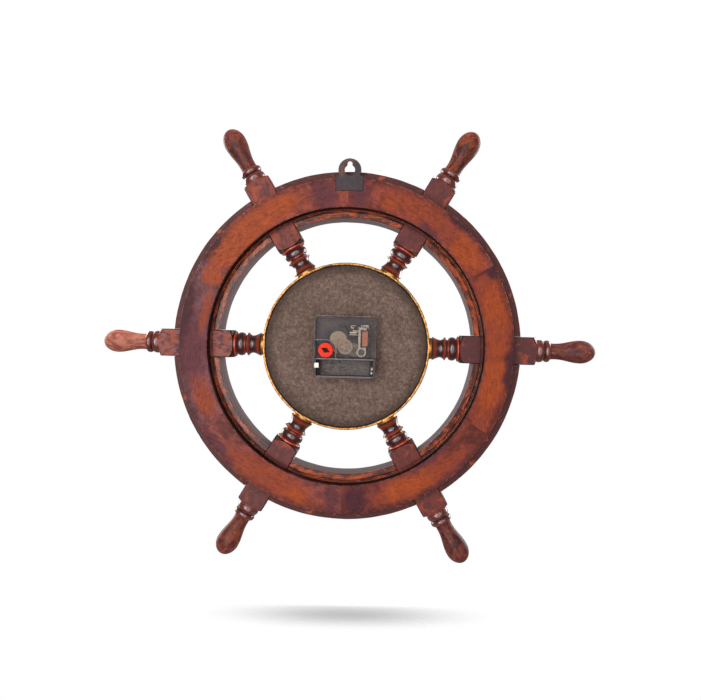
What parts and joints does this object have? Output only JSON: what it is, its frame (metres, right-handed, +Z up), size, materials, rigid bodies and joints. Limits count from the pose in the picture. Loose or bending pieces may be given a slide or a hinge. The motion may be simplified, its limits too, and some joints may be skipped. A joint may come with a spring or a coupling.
{
  "type": "ship wheel clock",
  "caption": "Wall clock built as a wooden ship's wheel with turned spokes, a brass-banded hub disc and a quartz movement open to view on its back.",
  "frame": {"origin": "centre of the wheel on its axis, half way through the rim", "axes": "+Z up, Y along the wheel's axis with the dial facing -Y and the wall at +Y, +X along the level spoke on the right as seen from the dial"},
  "size_m": [0.4572, 0.049, 0.398],
  "materials": {
    "turned_wood": "gloss varnish over dark red-brown stain",
    "rim_wood": "satin varnish, worn to orange-brown",
    "hub_wood": "satin",
    "fibre_board": "rough, brown-grey, speckled",
    "brass": "polished, lightly tarnished",
    "hanger_metal": "dark brown paint worn to bronze",
    "dial_paper": "printed, matt",
    "glass": "clear",
    "black_plastic": "moulded, satin",
    "smoky_plastic": "see-through, smoky",
    "nickel": "nickel plated",
    "soft_iron": "stamped sheet",
    "copper_wire": "enamelled fine wire",
    "ferrite": "matt",
    "circuit_laminate": "dark laminate with tinned traces",
    "pale_plastic": "moulded, unpainted",
    "red_plastic": "moulded",
    "hand_black": "black lacquer"
  },
  "bodies": {
    "wheel": {"spoke_1": "turned_wood", "spoke_2": "turned_wood", "spoke_3": "turned_wood", "spoke_4": "turned_wood", "spoke_5": "turned_wood", "spoke_6": "turned_wood", "felloe_1": "rim_wood", "felloe_2": "rim_wood", "felloe_3": "rim_wood", "felloe_4": "rim_wood", "felloe_5": "rim_wood", "felloe_6": "rim_wood", "back_facing_1": "rim_wood", "back_facing_2": "rim_wood", "back_facing_3": "rim_wood", "back_facing_4": "rim_wood", "back_facing_5": "rim_wood", "back_facing_6": "rim_wood", "front_facing_1": "rim_wood", "front_facing_2": "rim_wood", "front_facing_3": "rim_wood", "front_facing_4": "rim_wood", "front_facing_5": "rim_wood", "front_facing_6": "rim_wood", "hanger_plate": "hanger_metal", "brass_band": "brass", "hub_core": "hub_wood", "back_board": "fibre_board", "dial_backing": "hub_wood", "dial": "dial_paper", "glass": "glass", "front_bezel": "brass", "case_base": "black_plastic", "case_cover": "smoky_plastic", "train_bridge": "black_plastic", "threaded_bushing": "brass", "dial_washer": "brass", "dial_nut": "brass", "contact_positive": "nickel", "contact_negative": "nickel", "stator": "soft_iron", "coil_core": "soft_iron", "coil_bobbin": "black_plastic", "coil_winding": "copper_wire", "circuit_board": "circuit_laminate", "quartz_crystal": "nickel"},
    "rotor": {"rotor": "ferrite"},
    "intermediate": {"intermediate_wheel": "pale_plastic"},
    "seconds": {"seconds_wheel": "pale_plastic", "second_hand": "hand_black"},
    "third": {"third_wheel": "pale_plastic"},
    "centre": {"centre_wheel": "pale_plastic"},
    "minute": {"minute_cannon": "pale_plastic", "minute_hand": "hand_black"},
    "motion": {"motion_wheel": "pale_plastic"},
    "hour": {"hour_wheel": "pale_plastic", "hour_hand": "hand_black"},
    "knob": {"setting_knob": "red_plastic"}
  },
  "joints": [
    {"name": "seconds", "type": "hinge", "parent": "wheel", "child": "seconds", "pos_m": [0, 0, 0], "axis": [0, 1, 0], "continuous": true},
    {"name": "intermediate", "type": "hinge", "parent": "wheel", "child": "intermediate", "pos_m": [-0.00801, 0, -0.00253], "axis": [0, 1, 0], "continuous": true},
    {"name": "rotor", "type": "hinge", "parent": "wheel", "child": "rotor", "pos_m": [-0.01482, 0, -0.00467], "axis": [0, 1, 0], "continuous": true},
    {"name": "third", "type": "hinge", "parent": "wheel", "child": "third", "pos_m": [0.00652, 0, 0.00621], "axis": [0, 1, 0], "continuous": true},
    {"name": "centre", "type": "hinge", "parent": "wheel", "child": "centre", "pos_m": [0, 0, 0], "axis": [0, 1, 0], "continuous": true},
    {"name": "minute", "type": "hinge", "parent": "wheel", "child": "minute", "pos_m": [0, 0, 0], "axis": [0, 1, 0], "continuous": true},
    {"name": "motion", "type": "hinge", "parent": "wheel", "child": "motion", "pos_m": [0.0066, 0, -0.00126], "axis": [0, 1, 0], "continuous": true},
    {"name": "hour", "type": "hinge", "parent": "wheel", "child": "hour", "pos_m": [0, 0, 0], "axis": [0, 1, 0], "continuous": true},
    {"name": "knob", "type": "hinge", "parent": "wheel", "child": "knob", "pos_m": [0.01733, 0, -0.00331], "axis": [0, 1, 0], "continuous": true}
  ],
  "couplings": [
    {"joint": "intermediate", "follows": "seconds", "ratio": -5},
    {"joint": "rotor", "follows": "seconds", "ratio": 30},
    {"joint": "third", "follows": "seconds", "ratio": -0.125},
    {"joint": "centre", "follows": "seconds", "ratio": 0.016667},
    {"joint": "motion", "follows": "minute", "ratio": -0.33333},
    {"joint": "hour", "follows": "minute", "ratio": 0.083333},
    {"joint": "knob", "follows": "minute", "ratio": 0.28571}
  ]
}
